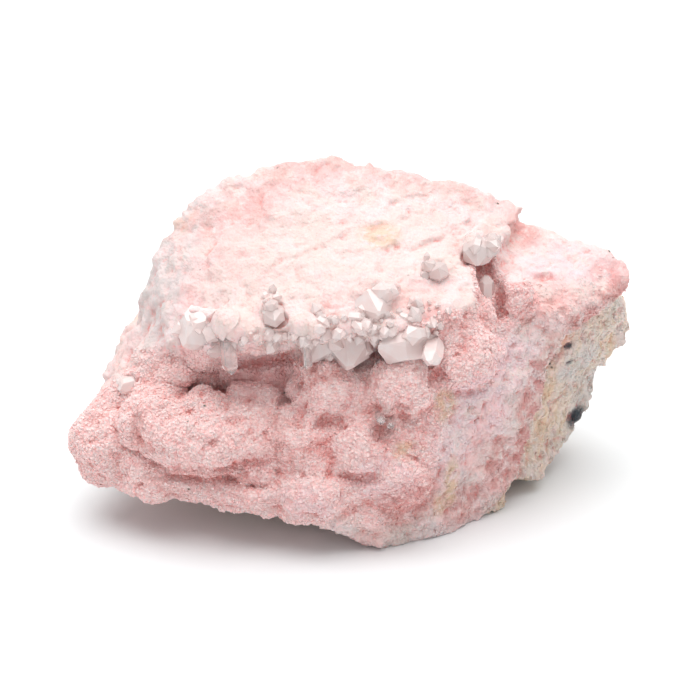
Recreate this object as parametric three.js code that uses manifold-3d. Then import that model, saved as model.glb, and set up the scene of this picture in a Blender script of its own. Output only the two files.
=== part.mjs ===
// Rhodochrosite specimen: a hand-sized lump of pink, druse-coated rhodochrosite on pale wall rock,
// with a ledge across its front and clear quartz crystals growing under and on the ledge.
//
// Millimetres, +Z up. The specimen lies as it rests on a table: +X runs along its length towards the
// horn-shaped corner, -Y is the showy, druse-coated side, and Z = 0 is the table. The origin is the
// middle of the bounding box's underside.
//
// The rock is one solid: convex blocks, each given by the corners of its broken faces, joined with
// domed druse lumps, less the hollows between them. Each crystal is a solid of its own, and stands in
// a socket that keeps it just clear of the rock.
import * as THREE from "three";
import { ConvexGeometry } from "three/addons/geometries/ConvexGeometry.js";
import { mergeVertices } from "three/addons/utils/BufferGeometryUtils.js";
import Module from "manifold-3d";

const wasm = await Module();
wasm.setup();

// ---------------------------------------------------------------- driving dimensions
const SOCKET_GAP = 0.3; // between a crystal and the rock round it
const MERGE_WITHIN = 1e-4; // vertices closer than this are one vertex
const DOME_DETAIL = 3; // subdivisions of the icosahedron behind each lump and hollow
const QUARTZ_SIDES = 6; // faces round a quartz prism
// A quartz termination's faces lean 38.2 degrees from the crystal's long axis.
const TIP_HEIGHT_PER_HALF_WIDTH = 1 / Math.tan(THREE.MathUtils.degToRad(38.2));
const ROOM_BELOW = 60; // depth of the block that cuts the base flat

// ---------------------------------------------------------------- finishes
const rockPink = new THREE.MeshStandardMaterial({ color: 0xe8bfc2, roughness: 0.85, metalness: 0 });
const quartzClear = new THREE.MeshStandardMaterial({ color: 0xf1e8e8, roughness: 0.12, metalness: 0 });

// ---------------------------------------------------------------- the rock's broken blocks
// Corners of each block's convex outline, [x, y, z].
const BLOCKS = {
  // The upper slab: its sloping top face ends in front in the overhanging lip of the ledge.
  ledge: [
    [-32, -15, 34.5], [-24, -21.5, 37], [-15, -23, 41.5], [-1, -24, 42.5], [9, -23, 41.5],
    [16, -20, 41.5], [23, -12, 44.5],
    [-30, 4, 50], [-25.5, 6, 54], [-19.5, 8, 57], [-11.5, 9, 60], [-3, 10, 59.5],
    [14, 11, 55.5], [25, 10, 52.5], [31, 10, 50],
    [-33.5, 1, 45], [-36, -1, 38], [-38, 0, 32],
    [-29, -12, 29], [-20, -15, 33], [0, -16, 35], [14, -14, 35],
    [-34, 14, 36], [-20, 24, 46], [5, 26, 48], [26, 22, 42], [27, 20, 28], [-30, 20, 24],
  ],
  // The body of the rock, from the recess under the ledge through to the back.
  core: [
    [-30, -10, 30], [-10, -11, 34], [14, -12, 36], [26, -8, 40],
    [-43, -9, 20], [-32, -16, 9], [-10, -19, 4], [8, -20, -2], [26, -9, -2],
    [-46, 2, 14], [-40, 8, 28], [-33, 17, 16], [-16, 14, -2], [6, 20, -2], [27, 17, -2],
    [-22, 26, 28], [12, 29, 32], [32, 24, 30], [30, 24, 6], [0, 28, 12],
  ],
  // The lower front: a rough face that swells forward over the base and turns away to the right.
  front: [
    [-9, -29, 6.6], [-3, -29, 5], [2, -27, 2.4], [9, -24, -1], [18, -19, -1], [27, -11, -1],
    [26, -9, 4], [-8, -21, 28], [9, -22, 28], [17, -18, 33], [27, -9, 39], [37, -6.5, 31],
    [32, -8, 20], [30, -9, 11], [-7, -29, 14], [9, -27.5, 11], [16, -22.5, 20],
    [-4, -4, 8], [24, 4, 8], [30, 6, 32], [-6, -4, 30],
  ],
  // The horn: the right-hand corner, with a flat sloping top and a sharp end.
  horn: [
    [27, -8, 40], [37, -8, 36], [44.5, -3.5, 37.8], [49.7, 2.5, 39.5], [49.3, 4, 42],
    [46.5, 6, 43], [39.5, 8, 45.6], [32, 10, 47.3], [24, 8, 49],
    [37, -6, 31], [46, 1, 35], [24, -4, 30], [28, 14, 34], [44, 14, 33],
  ],
  // The wall rock that the pink rhodochrosite grew on: two blocks behind and below the horn.
  wallUpper: [
    [37, -4, 31], [44, 1, 34.5], [49, 9, 34], [50.4, 11, 29], [50, 12, 22.5], [46, 9, 20],
    [36, -3, 22], [45, 22, 32], [46, 21, 22], [28, 12, 34], [28, 18, 18], [32, 25, 34],
  ],
  wallLower: [
    [31.5, -7.5, 20], [30.2, -8, 11], [29.5, -7.5, 5], [31, -3, 1.8], [35.5, 0, 2.2],
    [39.3, 5, 5.2], [42.6, 8, 9], [45.3, 10, 17], [45.6, 11, 22], [36, -3, 26],
    [41, 21, 20], [37, 19, 6], [28, 16, 1.5], [24, 2, 10], [26, 22, 24],
  ],
  // The left end, which tapers and stands clear of the table.
  shoulder: [
    [-35.5, -8, 35], [-38, -3, 32], [-41, -5, 26], [-44.5, -8, 20.5], [-48, -9, 15.5],
    [-48, -10, 12], [-45, -13, 18], [-37, -14, 25], [-29, -14, 30],
    [-46, -11, 9.5], [-42, -15, 8], [-33, -18, 9], [-41, 7, 24], [-45, 3, 13], [-30, 10, 36],
    [-28, 8, 8],
  ],
  // The low rim along the front of the left end, under the domes.
  rim: [
    [-43, -16, 8], [-35, -21.5, 8.5], [-26, -25, 10.8], [-21, -26.5, 10], [-15.5, -27, 8.5],
    [-8, -28, 5.9], [-38, -19, 12], [-26, -24, 14.5], [-14, -26, 15], [-6, -26, 16],
    [-36, -6, 10], [-8, -10, 6], [-8, -10, 18], [-34, -8, 16],
  ],
};

// ---------------------------------------------------------------- druse lumps and hollows
// Each is an ellipsoid: centre, then the three half sizes.
const DOMES = [
  // the three big domes of the left end, and the tip's
  { at: [-42.8, -12.5, 14.2], half: [6.4, 6.5, 7.4] },
  { at: [-34, -17, 21], half: [6.2, 6.5, 5.6] },
  { at: [-26, -20, 19.8], half: [7.4, 9, 7.2] },
  { at: [-18, -19.5, 19.5], half: [6.8, 7.5, 6.8] },
  // the rim's swellings
  { at: [-33.5, -19, 10.2], half: [5.6, 4.6, 3.6] },
  { at: [-16, -24, 12], half: [5.6, 5, 4.4] },
  { at: [-6, -26, 11], half: [6.4, 5.2, 5.4] },
  // lumps over the lower front
  { at: [-8, -22, 20], half: [6.2, 6.4, 5.4] },
  { at: [-4.5, -19.5, 29], half: [5.8, 5.4, 4.8] },
  { at: [2.5, -24.5, 19.5], half: [5.6, 5.2, 5.6] },
  { at: [9.5, -21, 29], half: [5.4, 4.8, 5] },
  { at: [19.5, -16, 33], half: [6.2, 5.4, 6] },
  { at: [6.5, -24.5, 13], half: [7, 4.8, 6] },
  // under the ledge's right part, and the two sides of the small cavity
  { at: [16.5, -14.5, 40], half: [6.4, 5.6, 4.6] },
  { at: [28.8, -6.5, 41.2], half: [3.4, 3.6, 3.6] },
  { at: [22.5, -8, 37.5], half: [4.6, 4.6, 4] },
];
const HOLLOWS = [
  // the dark recess under the ledge, and its tail to the left
  { at: [-15.5, -21.5, 29.5], half: [8, 9, 5] },
  { at: [-27, -20, 30], half: [8, 6, 2.6] },
  // the small cavity between the ledge and the horn
  { at: [24.2, -7.5, 44.4], half: [2.6, 6.5, 4.2] },
  { at: [26.4, -9.5, 39.6], half: [1.2, 4, 3.6] },
  // the notch behind the front's right-hand foot
  { at: [33, -13, 1.5], half: [6.4, 5.2, 3.6] },
  // the step in the outline between the ledge's end and the horn
  { at: [36, 10, 51.5], half: [4, 8, 3.4] },
];

// ---------------------------------------------------------------- quartz crystals
// root: where the crystal's buried end lies. tip: the point of its termination.
// width and depth: across the prism, before the turn about its axis, in degrees.
const CRYSTALS = {
  quartz_hanging_point: [
    { root: [-21.6, -19.3, 41.4], tip: [-20.6, -23.4, 32.6], width: 2.5, depth: 2.1, turn: 8 },
  ],
  quartz_sliver: [{ root: [-7.6, -21.8, 41.5], tip: [-7.2, -24.6, 34], width: 1.3, depth: 1.1, turn: 20 }],
  quartz_centre_cluster: [
    { root: [0.2, -15.9, 37.2], tip: [-0.4, -23.4, 33.4], width: 6.4, depth: 5.6, turn: 12 },
    { root: [-4.6, -15.9, 36.6], tip: [-7.2, -21.6, 34.2], width: 5.6, depth: 4.8, turn: 35 },
  ],
  quartz_lip_knob: [{ root: [-4.2, -20.4, 41], tip: [-4.8, -25, 39.8], width: 2.8, depth: 2.4, turn: 10 }],
  quartz_upper_block: [
    { root: [3.9, -17.6, 43.4], tip: [5.4, -23.8, 44.6], width: 8, depth: 6.6, turn: 18 },
  ],
  quartz_right_blade: [
    { root: [15.8, -16, 35.6], tip: [4.8, -24.4, 38.6], width: 6.6, depth: 4.6, turn: 60 },
  ],
  quartz_left_block: [
    { root: [-25.5, -15, 39], tip: [-28.8, -21, 36.6], width: 7, depth: 5, turn: 25 },
  ],
  quartz_clear_knob: [
    { root: [-13.3, -18, 42.6], tip: [-13, -24.2, 43.4], width: 4.8, depth: 4, turn: 10 },
  ],
  quartz_crest_block: [
    { root: [15.6, -9.4, 45.2], tip: [15.2, -13.4, 48.6], width: 4.6, depth: 3.8, turn: 20 },
  ],
  quartz_cavity_crown: [
    { root: [22.4, -2.6, 48.2], tip: [22.6, -8.2, 46.4], width: 4.6, depth: 3.8, turn: 0 },
    { root: [24, -1.6, 48], tip: [25.8, -5.2, 50.6], width: 2.6, depth: 2.2, turn: 20 },
  ],
  quartz_cavity_column: [
    { root: [23.8, -6.8, 38.6], tip: [23.9, -6.4, 44.4], width: 2.4, depth: 2.2, turn: 15 },
  ],
  quartz_front_spark: [{ root: [5, -23, 25], tip: [5.4, -28, 25.8], width: 1.3, depth: 1.2, turn: 0 }],
  quartz_front_spark_small: [
    { root: [6.6, -23, 24], tip: [7.1, -27.4, 24.6], width: 1, depth: 0.9, turn: 30 },
  ],
  quartz_left_edge_block: [
    { root: [-38.5, -10.1, 25], tip: [-40.4, -14.6, 25.2], width: 3.6, depth: 2.6, turn: 40 },
  ],
};

// ---------------------------------------------------------------- solids
/** A closed three.js geometry as a manifold-3d solid. */
function solidOf(geometry) {
  const bare = geometry.clone();
  bare.deleteAttribute("normal");
  bare.deleteAttribute("uv");
  const merged = mergeVertices(bare, MERGE_WITHIN);
  return new wasm.Manifold(
    new wasm.Mesh({
      numProp: 3,
      vertProperties: new Float32Array(merged.attributes.position.array),
      triVerts: new Uint32Array(merged.index.array),
    }),
  );
}

/** A manifold-3d solid as a flat-shaded three.js geometry. */
function geometryOf(solid) {
  const mesh = solid.getMesh();
  const positions = new Float32Array(mesh.numVert * 3);
  for (let i = 0; i < mesh.numVert; i++) {
    positions.set(mesh.vertProperties.subarray(i * mesh.numProp, i * mesh.numProp + 3), i * 3);
  }
  const geometry = new THREE.BufferGeometry();
  geometry.setAttribute("position", new THREE.BufferAttribute(positions, 3));
  geometry.setIndex(new THREE.BufferAttribute(mesh.triVerts, 1));
  const flat = geometry.toNonIndexed();
  flat.computeVertexNormals();
  return flat;
}

/** The convex solid round a list of corners. */
function block(corners) {
  return solidOf(new ConvexGeometry(corners.map((corner) => new THREE.Vector3(...corner))));
}

/** An ellipsoid, from a subdivided icosahedron stretched to its three half sizes. */
function ellipsoid({ at, half }) {
  const ball = new THREE.IcosahedronGeometry(1, DOME_DETAIL);
  ball.scale(...half);
  ball.translate(...at);
  return solidOf(ball);
}

/**
 * One quartz crystal with its tip at the origin's +Z end: a six-sided prism of the given length,
 * closed by a six-faced point. Clearance grows it on every side, for its socket.
 */
function quartzGeometry({ length, width, depth, turn }, clearance = 0) {
  const halfWidth = width / 2 + clearance;
  const halfDepth = depth / 2 + clearance;
  const end = length + clearance;
  const shoulder = end - Math.min(halfWidth, halfDepth) * TIP_HEIGHT_PER_HALF_WIDTH;
  const corners = [new THREE.Vector3(0, 0, end)];
  for (let side = 0; side < QUARTZ_SIDES; side++) {
    const angle = (side / QUARTZ_SIDES) * Math.PI * 2 + THREE.MathUtils.degToRad(turn);
    const x = Math.cos(angle) * halfWidth;
    const y = Math.sin(angle) * halfDepth;
    corners.push(new THREE.Vector3(x, y, -clearance), new THREE.Vector3(x, y, shoulder));
  }
  return new ConvexGeometry(corners);
}

/** Where a crystal stands: the matrix that carries its own +Z from its root to its tip. */
function placeOf({ root, tip }) {
  const from = new THREE.Vector3(...root);
  const along = new THREE.Vector3(...tip).sub(from);
  const turned = new THREE.Quaternion().setFromUnitVectors(
    new THREE.Vector3(0, 0, 1),
    along.clone().normalize(),
  );
  const matrix = new THREE.Matrix4().compose(from, turned, new THREE.Vector3(1, 1, 1));
  return { matrix, length: along.length() };
}

/** The solid of crystals that grew together, each in its place. */
function crystalSolid(members, clearance) {
  return members
    .map((member) => {
      const { matrix, length } = placeOf(member);
      return solidOf(quartzGeometry({ ...member, length }, clearance).applyMatrix4(matrix));
    })
    .reduce((joined, next) => joined.add(next));
}

/** The whole rock: blocks and domes joined, hollows and sockets cut, and the base cut flat at Z = 0. */
function rockSolid() {
  let rock = Object.values(BLOCKS).map(block).reduce((joined, next) => joined.add(next));
  for (const dome of DOMES) {
    rock = rock.add(ellipsoid(dome));
  }
  for (const hollow of HOLLOWS) {
    rock = rock.subtract(ellipsoid(hollow));
  }
  for (const members of Object.values(CRYSTALS)) {
    rock = rock.subtract(crystalSolid(members, SOCKET_GAP));
  }
  const below = new THREE.BoxGeometry(400, 400, ROOM_BELOW).translate(0, 0, -ROOM_BELOW / 2);
  return rock.subtract(solidOf(below));
}

/** A named mesh of a solid. */
function pieceOf(name, solid, material) {
  const mesh = new THREE.Mesh(geometryOf(solid), material);
  mesh.name = name;
  return mesh;
}

// ---------------------------------------------------------------- the specimen
const specimen = new THREE.Group();
specimen.name = "rhodochrosite_specimen";
specimen.add(pieceOf("rhodochrosite_rock", rockSolid(), rockPink));
for (const [name, members] of Object.entries(CRYSTALS)) {
  specimen.add(pieceOf(name, crystalSolid(members, 0), quartzClear));
}

// The origin goes to the middle of the bounding box's underside.
const box = new THREE.Box3().setFromObject(specimen);
const middle = box.getCenter(new THREE.Vector3());
for (const piece of specimen.children) {
  piece.geometry.translate(-middle.x, -middle.y, -box.min.z);
}

export default specimen;
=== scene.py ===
"""Rhodochrosite specimen: the looks of a hand-sized lump of pink, druse-coated rhodochrosite.

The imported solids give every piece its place. The rock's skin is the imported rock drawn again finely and
roughened; its druse is thousands of tiny rhombs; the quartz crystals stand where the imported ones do.

Lengths in this file are millimetres unless a name ends in _m. Blender's own lengths are metres.
"""

import logging
import math
from dataclasses import dataclass
from enum import Enum
from typing import NamedTuple

import bmesh
import bpy
import numpy as np
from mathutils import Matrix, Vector

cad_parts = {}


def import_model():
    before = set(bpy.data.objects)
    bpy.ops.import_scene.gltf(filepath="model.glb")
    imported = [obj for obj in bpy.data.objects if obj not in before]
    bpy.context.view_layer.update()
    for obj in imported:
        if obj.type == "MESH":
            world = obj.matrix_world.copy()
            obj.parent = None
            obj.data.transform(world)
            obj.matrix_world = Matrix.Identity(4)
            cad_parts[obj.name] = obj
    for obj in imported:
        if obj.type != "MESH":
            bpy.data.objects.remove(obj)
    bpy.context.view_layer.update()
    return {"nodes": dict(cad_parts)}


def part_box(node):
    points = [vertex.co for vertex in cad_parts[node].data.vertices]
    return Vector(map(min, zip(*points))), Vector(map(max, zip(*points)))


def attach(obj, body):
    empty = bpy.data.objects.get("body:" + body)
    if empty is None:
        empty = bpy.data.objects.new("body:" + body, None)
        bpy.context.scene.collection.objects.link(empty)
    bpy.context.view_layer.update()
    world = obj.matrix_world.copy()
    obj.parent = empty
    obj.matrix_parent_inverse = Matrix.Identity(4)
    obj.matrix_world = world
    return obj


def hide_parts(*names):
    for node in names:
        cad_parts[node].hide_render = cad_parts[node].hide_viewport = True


logging.basicConfig(level=logging.INFO, format="%(name)s: %(message)s")
log = logging.getLogger("specimen")

Array = np.ndarray
Point = tuple[float, float, float]
Colour = tuple[float, float, float]

MM = 0.001
ROCK_NODE = "rhodochrosite_rock"
SHOW_SIDE = (0.0, -0.85, 0.53)
COAT_COUNT = 3
RHOMBS_A_COAT = 16400


# ------------------------------------------------------------------ patterns worked out in numpy
def cell_values(cells: Array, seed: int) -> Array:
    """A fixed random number for each cell of a grid, by mixing the bits of its three indices.

    Args:
        cells: whole-numbered grid positions, shape (n, 3).
        seed: which of many unlike patterns to give.

    Returns:
        One number from 0 to 1 for each position.
    """
    x, y, z = (cells[:, axis].astype(np.uint64) for axis in range(3))
    mixed = x * np.uint64(0x9E3779B1) ^ y * np.uint64(0x85EBCA77) ^ z * np.uint64(0xC2B2AE3D)
    mixed ^= np.uint64(seed * 0x27D4EB2F + 0x165667B1)
    mixed ^= mixed >> np.uint64(29)
    mixed *= np.uint64(0xBF58476D1CE4E5B9)
    mixed ^= mixed >> np.uint64(32)
    mixed *= np.uint64(0x94D049BB133111EB)
    mixed ^= mixed >> np.uint64(31)
    return (mixed >> np.uint64(40)).astype(np.float64) / float(1 << 24)


def swell(points: Array, size: float, seed: int) -> Array:
    """A smooth random swell: grid-corner numbers blended with the curve t * t * t * (t * (6t - 15) + 10).

    Args:
        points: positions, shape (n, 3).
        size: distance from one swell to the next.
        seed: which pattern.

    Returns:
        A height from -1 to 1 for each point.
    """
    scaled = points / size + 1000.0
    corner = np.floor(scaled).astype(np.int64)
    part = scaled - corner
    blend = part**3 * (part * (part * 6.0 - 15.0) + 10.0)
    total = np.zeros(len(points))
    for step in np.ndindex(2, 2, 2):
        share = np.prod(np.where(step, blend, 1.0 - blend), axis=1)
        total += share * cell_values(corner + np.array(step), seed)
    return total * 2.0 - 1.0


def layered_swell(points: Array, size: float, seed: int, layers: int = 3) -> Array:
    """Swells on swells: each layer is half the size and 0.55 of the height of the one before.

    Args:
        points: positions, shape (n, 3).
        size: distance between the largest swells.
        seed: which pattern.
        layers: how many sizes of swell.

    Returns:
        A height of about -1 to 1 for each point.
    """
    total = np.zeros(len(points))
    height = 1.0
    for layer in range(layers):
        total += height * swell(points, size / 2.0**layer, seed + 17 * layer)
        height *= 0.55
    return total


@dataclass(frozen=True)
class Pebbles:
    """Where each point lies among seeds scattered one to a grid cell."""

    nearest: Array
    second: Array
    offset: Array
    label: Array


def pebbled(points: Array, size: float, seed: int) -> Pebbles:
    """Finds each point's nearest seed, of seeds scattered at random, one to each grid cell.

    Args:
        points: positions, shape (n, 3).
        size: width of a grid cell.
        seed: which scatter.

    Returns:
        The distances to the nearest and second nearest seed in cell widths, the offset from the
        nearest, and a random number of its own for each seed.
    """
    scaled = points / size + 1000.0
    home = np.floor(scaled).astype(np.int64)
    nearest = np.full(len(points), 9.0)
    second = np.full(len(points), 9.0)
    offset = np.zeros_like(scaled)
    label = np.zeros(len(points))
    for step in np.ndindex(3, 3, 3):
        cell = home + np.array(step) - 1
        spot = cell + np.stack([cell_values(cell, seed + axis) for axis in (1, 2, 3)], axis=1)
        away = scaled - spot
        distance = np.sqrt((away * away).sum(axis=1))
        closer = distance < nearest
        second = np.where(closer, nearest, np.minimum(second, distance))
        nearest = np.where(closer, distance, nearest)
        offset[closer] = away[closer]
        label[closer] = cell_values(cell[closer], seed + 9)
    return Pebbles(nearest, second, offset, label)


def ramp(values: Array, low: float, high: float) -> Array:
    """A smooth step from 0 at low to 1 at high: t * t * (3 - 2t)."""
    share = np.clip((values - low) / (high - low), 0.0, 1.0)
    return share * share * (3.0 - 2.0 * share)


# ------------------------------------------------------------------ where the rock's kinds of surface lie
@dataclass(frozen=True)
class Patch:
    """A soft-edged ellipsoid on the rock: its centre, its reach along x, y and z, and its strength."""

    at: Point
    reach: Point
    strength: float = 1.0

    def cover(self, points: Array) -> Array:
        """How far in each point lies: the strength at the centre, fading to 0 at the reach."""
        away = (points - np.array(self.at)) / np.array(self.reach)
        return self.strength * ramp(1.25 - np.sqrt((away * away).sum(axis=1)), 0.0, 0.75)


class Share(Enum):
    """What covers a point of the rock, and the painted shade in its crevices, by the name of its vertex
    attribute.
    """

    DRUSE = "druse"
    WALL = "wall"
    SIDE = "side"
    CAVITY = "cavity"


class Tint(Enum):
    """The stains that the rock's colours take, one of them partly painted shade, by the name of their vertex
    attribute.
    """

    SALMON_AND_SHADE = "salmon_and_crease_shade"
    LILAC = "lilac"
    OCHRE = "ochre"
    GREY = "grey"
    IVORY = "ivory"
    DARK = "dark"


TINT_PATCHES: dict[Tint, tuple[Patch, ...]] = {
    Tint.SALMON_AND_SHADE: (
        Patch((10.7, -26, 9.5), (7.5, 7, 6), 0.95),
        Patch((26, -12, 10.5), (5, 6, 6), 0.85),
        Patch((20, -17, 5), (5.5, 6, 4), 0.7),
        Patch((46, 1, 38.5), (5, 5, 3.5), 0.8),
        Patch((41, -2, 34.5), (5, 5, 3.5), 0.9),
        Patch((36, -4, 29.5), (4, 5, 4), 0.9),
        Patch((33, -7, 25.5), (3.2, 5, 4), 0.9),
        Patch((31, -8.5, 20), (3, 5, 5), 0.9),
        Patch((29.5, -9, 12), (3, 5, 6), 0.9),
        Patch((29, -9, 5), (3.5, 5, 3.5), 0.8),
        Patch((-9.5, 8, 58), (8, 5, 3.5), 0.45),
        Patch((0, 10, 58), (9, 5, 3), 0.4),
        Patch((10, 11, 56), (10, 5, 3), 0.4),
        Patch((22, 11, 53), (9, 5, 3.5), 0.4),
        Patch((-26, 3, 51), (5, 6, 4), 0.45),
        Patch((-18, 4, 54.5), (8, 5, 3), 0.4),
        Patch((-20, -1.5, 51.5), (5, 4, 2.5), 0.25),
        Patch((31, 6, 48), (4, 5, 3.5), 0.8),
        Patch((34, -1, 41.8), (2.0, 1.2, 1.2)),
        Patch((46, 2, 41.5), (5, 4, 2), 0.6),
        Patch((37, -5.5, 38), (7, 3.5, 2.4), 0.5),
        Patch((-5, -19.5, 43.5), (4, 3, 2), 0.6),
        Patch((14, -19, 41), (6, 4, 2.5), 0.6),
        # Painted shade: these patches darken the druse's crease lines and the recess under the ledge with the
        # stain's colour.
        Patch((-37.5, -20, 20), (1.8, 5, 6), 0.6),
        Patch((-29, -24, 14), (8, 6, 2), 0.7),
        Patch((-20, -25, 15.5), (5, 5, 2.4), 0.8),
        Patch((-13.5, -23, 21), (3, 5, 4), 0.7),
        Patch((-19, -11, 27), (12, 6, 5), 0.6),
        Patch((5, -25, 23), (4, 4, 3), 0.5),
    ),
    Tint.LILAC: (
        Patch((22, -16, 24), (9, 7, 9), 0.9),
        Patch((27, -11, 30), (7, 6, 6), 0.9),
        Patch((6, -28, 15), (7, 5, 5), 0.6),
        Patch((37, 2, 43), (9, 7, 3.5), 0.9),
        Patch((44, 3, 41.5), (5, 4, 2.5), 0.6),
        Patch((17, -19, 16), (6, 6, 7), 0.7),
        Patch((-9, -29.5, 11), (7, 5, 4), 0.5),
        Patch((-17, -12, 28), (9, 6, 6), 0.5),
        Patch((-28, -14, 38), (7, 8, 5), 0.6),
    ),
    Tint.OCHRE: (
        Patch((4.5, -3.5, 51), (4, 4, 2.5), 0.7),
        Patch((16, -19.5, 25.5), (2.4, 3, 3.2), 0.8),
        Patch((17.2, -19.4, 10.5), (1.6, 3, 5.5), 0.9),
        Patch((9, -24, 18.9), (3.4, 3, 1.8), 0.7),
        Patch((15.3, -20.5, 7), (1.6, 3, 3), 0.7),
        Patch((-30, 8, 49), (6, 6, 4), 0.5),
        Patch((37.5, -2, 31), (3, 4, 3.5), 0.6),
        Patch((35, -4, 22), (2, 4, 5), 0.7),
        Patch((34, -3, 13), (2.2, 4, 4.5), 0.6),
    ),
    Tint.GREY: (
        Patch((18, -18.4, 8.4), (4.5, 5, 6), 0.7),
        Patch((-35, -2, 40), (5, 9, 10), 0.8),
        Patch((40, 2, 22), (4, 6, 7), 0.8),
        Patch((40, 6, 12), (4.5, 5, 5), 0.6),
        Patch((10, 28, 28), (16, 8, 12), 0.6),
        Patch((-30, 20, 28), (12, 10, 12), 0.5),
    ),
    Tint.IVORY: (
        Patch((-9, -10, 49), (17, 13, 8), 0.9),
        Patch((-19, -13, 45), (12, 10, 7), 0.9),
        Patch((2, -11, 48), (12, 10, 6), 0.7),
        Patch((14, -4, 50), (8, 8, 5), 0.5),
    ),
    Tint.DARK: (
        Patch((40.5, 7, 10.4), (2.6, 3.4, 2.2)),
        Patch((38.3, -1, 28.5), (0.9, 1.4, 0.9)),
        Patch((38.4, 0.3, 25), (0.8, 1.4, 0.7)),
        Patch((30, 25, 14), (3, 3, 2.2)),
    ),
}

DRUSE_PATCHES = (
    Patch((-30, -18, 17), (25, 17, 18)),
    Patch((-12, -22, 20), (18, 15, 18)),
    Patch((3, -25, 21), (15, 12, 17)),
    Patch((15, -16, 35), (15, 11, 9)),
    Patch((25, -7, 41), (9, 9, 7)),
)

LIP_PATCHES = (
    Patch((-25, -17, 38), (4, 4, 2), 0.5),
    Patch((-19.5, -19.5, 38.2), (4, 4, 1.8), 0.8),
    Patch((-14.5, -20.5, 38.8), (4, 4, 2)),
    Patch((-9, -21, 39.5), (4, 4, 2)),
    Patch((-4, -20.5, 42), (4, 4, 3)),
    Patch((1, -20.5, 42), (4, 4, 3)),
    Patch((5, -20.5, 41), (4, 4, 3)),
    Patch((9, -17.5, 43), (4, 4, 2.6)),
    Patch((14, -17.5, 41.5), (4, 4, 3), 0.8),
    Patch((-14, -16.5, 44.5), (3, 3, 2), 0.4),
    Patch((13.5, -6.5, 48), (3.4, 2.4, 1.6), 0.5),
    Patch((21, -2, 48), (2.6, 2.4, 2), 0.7),
)

BULGE_PATCHES = (
    Patch((-22, -20, 41.5), (4.5, 4.5, 3), 2.2),
    Patch((-8, -21.5, 41.8), (3, 4, 2.4), 1.4),
    Patch((-21, -13, 27.5), (5, 6, 3.4), 2.6),
    Patch((-26, -12, 28.5), (5, 6, 4), 2.6),
    Patch((-15, -12.5, 25.5), (4, 6, 3.5), 2.4),
    Patch((-12, -12, 27), (5, 6, 3.6), 2.2),
    Patch((-25.5, -12.5, 31.5), (3, 4, 3.4), 1.6),
    Patch((-8.5, -13, 31), (2.6, 4, 2.6), 1.4),
    Patch((-33, -18, 20), (5.5, 6, 5), 1.6),
    Patch((-22, -22, 19.5), (5.5, 6, 5), 1.5),
    Patch((-13, -23, 19.5), (4.5, 6, 4.4), 1.2),
    Patch((-44.5, -15, 17), (4.5, 6, 6), 1.0),
    Patch((-37.6, -15.4, 14), (3.6, 5, 3.6), 3.4),
    Patch((-12.1, -12.8, 23.5), (2.8, 4, 2.8), 2.4),
)

PIT_PATCHES = (
    Patch((5.5, -25.5, 23.4), (3, 4, 2.2), 2.2),
    Patch((-4, -25, 24.5), (3.2, 4, 1.8), 1.8),
    Patch((-10, -24, 26), (2.4, 4, 3), 1.6),
    Patch((-12.5, -27, 18), (1.8, 4, 4), 1.4),
    Patch((-30, -23, 13), (7, 4, 1.2), 1.5),
    Patch((-20, -26, 13.6), (6, 4, 1.3), 1.8),
    Patch((1, -27, 15.5), (4, 4, 1.5), 1.3),
    Patch((14, -20, 31), (3, 4, 1.8), 1.5),
    Patch((33.6, -1, 42), (1.5, 0.9, 1.2), 0.6),
    Patch((8, -25.5, 27), (2.4, 4, 1.4), 1.3),
    Patch((-37.5, -21, 21.5), (1.5, 5, 3), 0.9),
    Patch((-29, -27, 16.4), (4, 5, 1.6), 1.6),
    Patch((-22, -27, 16.4), (4, 5, 1.9), 1.8),
    Patch((-17, -25.5, 18), (3.4, 5, 1.8), 1.5),
)


def greatest_cover(patches: tuple[Patch, ...], points: Array) -> Array:
    """The strongest cover that any of the patches gives each point."""
    return np.max([patch.cover(points) for patch in patches], axis=0)


def wall_cover(points: Array) -> Array:
    """How much of each point is wall rock: behind a slanting plane and below the pink upper crust.

    Args:
        points: positions on the rock, shape (n, 3).

    Returns:
        0 on the rhodochrosite to 1 on the wall rock.
    """
    behind = points @ np.array([-0.13, 0.95, -0.29]) + 15.5 + np.minimum(points[:, 0] + 18.0, 0.0) * 0.9
    below = 37.5 - points[:, 2] + 0.1 * points[:, 1]
    inside = np.minimum(behind / 1.6, below / 1.6)
    return ramp(inside + 0.9 * layered_swell(points, 5.0, 71), -0.6, 0.9)


# ------------------------------------------------------------------ meshes
def new_piece(name: str, mesh: bpy.types.Mesh, material: bpy.types.Material) -> bpy.types.Object:
    """Puts a finished mesh into the scene as a piece that rides on the specimen.

    Args:
        name: the piece's name.
        mesh: its mesh, in metres, in place.
        material: its finish.

    Returns:
        The new object, at the origin.
    """
    mesh.name = name
    mesh.materials.clear()
    mesh.materials.append(material)
    piece = bpy.data.objects.new(name, mesh)
    bpy.context.scene.collection.objects.link(piece)
    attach(piece, "root")
    log.info("%s: %d vertices, %d faces", name, len(mesh.vertices), len(mesh.polygons))
    return piece


def mesh_of(name: str, points: Array, faces: Array) -> bpy.types.Mesh:
    """A mesh from arrays of points in millimetres and of faces with equally many corners.

    Args:
        name: the mesh's name.
        points: positions, shape (n, 3).
        faces: the corners' indices, shape (m, corners).

    Returns:
        The mesh, in metres.
    """
    mesh = bpy.data.meshes.new(name)
    count, corners = faces.shape
    mesh.vertices.add(len(points))
    mesh.vertices.foreach_set("co", (points * MM).astype(np.float32).ravel())
    mesh.loops.add(count * corners)
    mesh.loops.foreach_set("vertex_index", faces.astype(np.int32).ravel())
    mesh.polygons.add(count)
    mesh.polygons.foreach_set("loop_start", np.arange(0, count * corners, corners, dtype=np.int32))
    mesh.update(calc_edges=True)
    mesh.validate()
    mesh.shade_flat()
    return mesh


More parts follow.
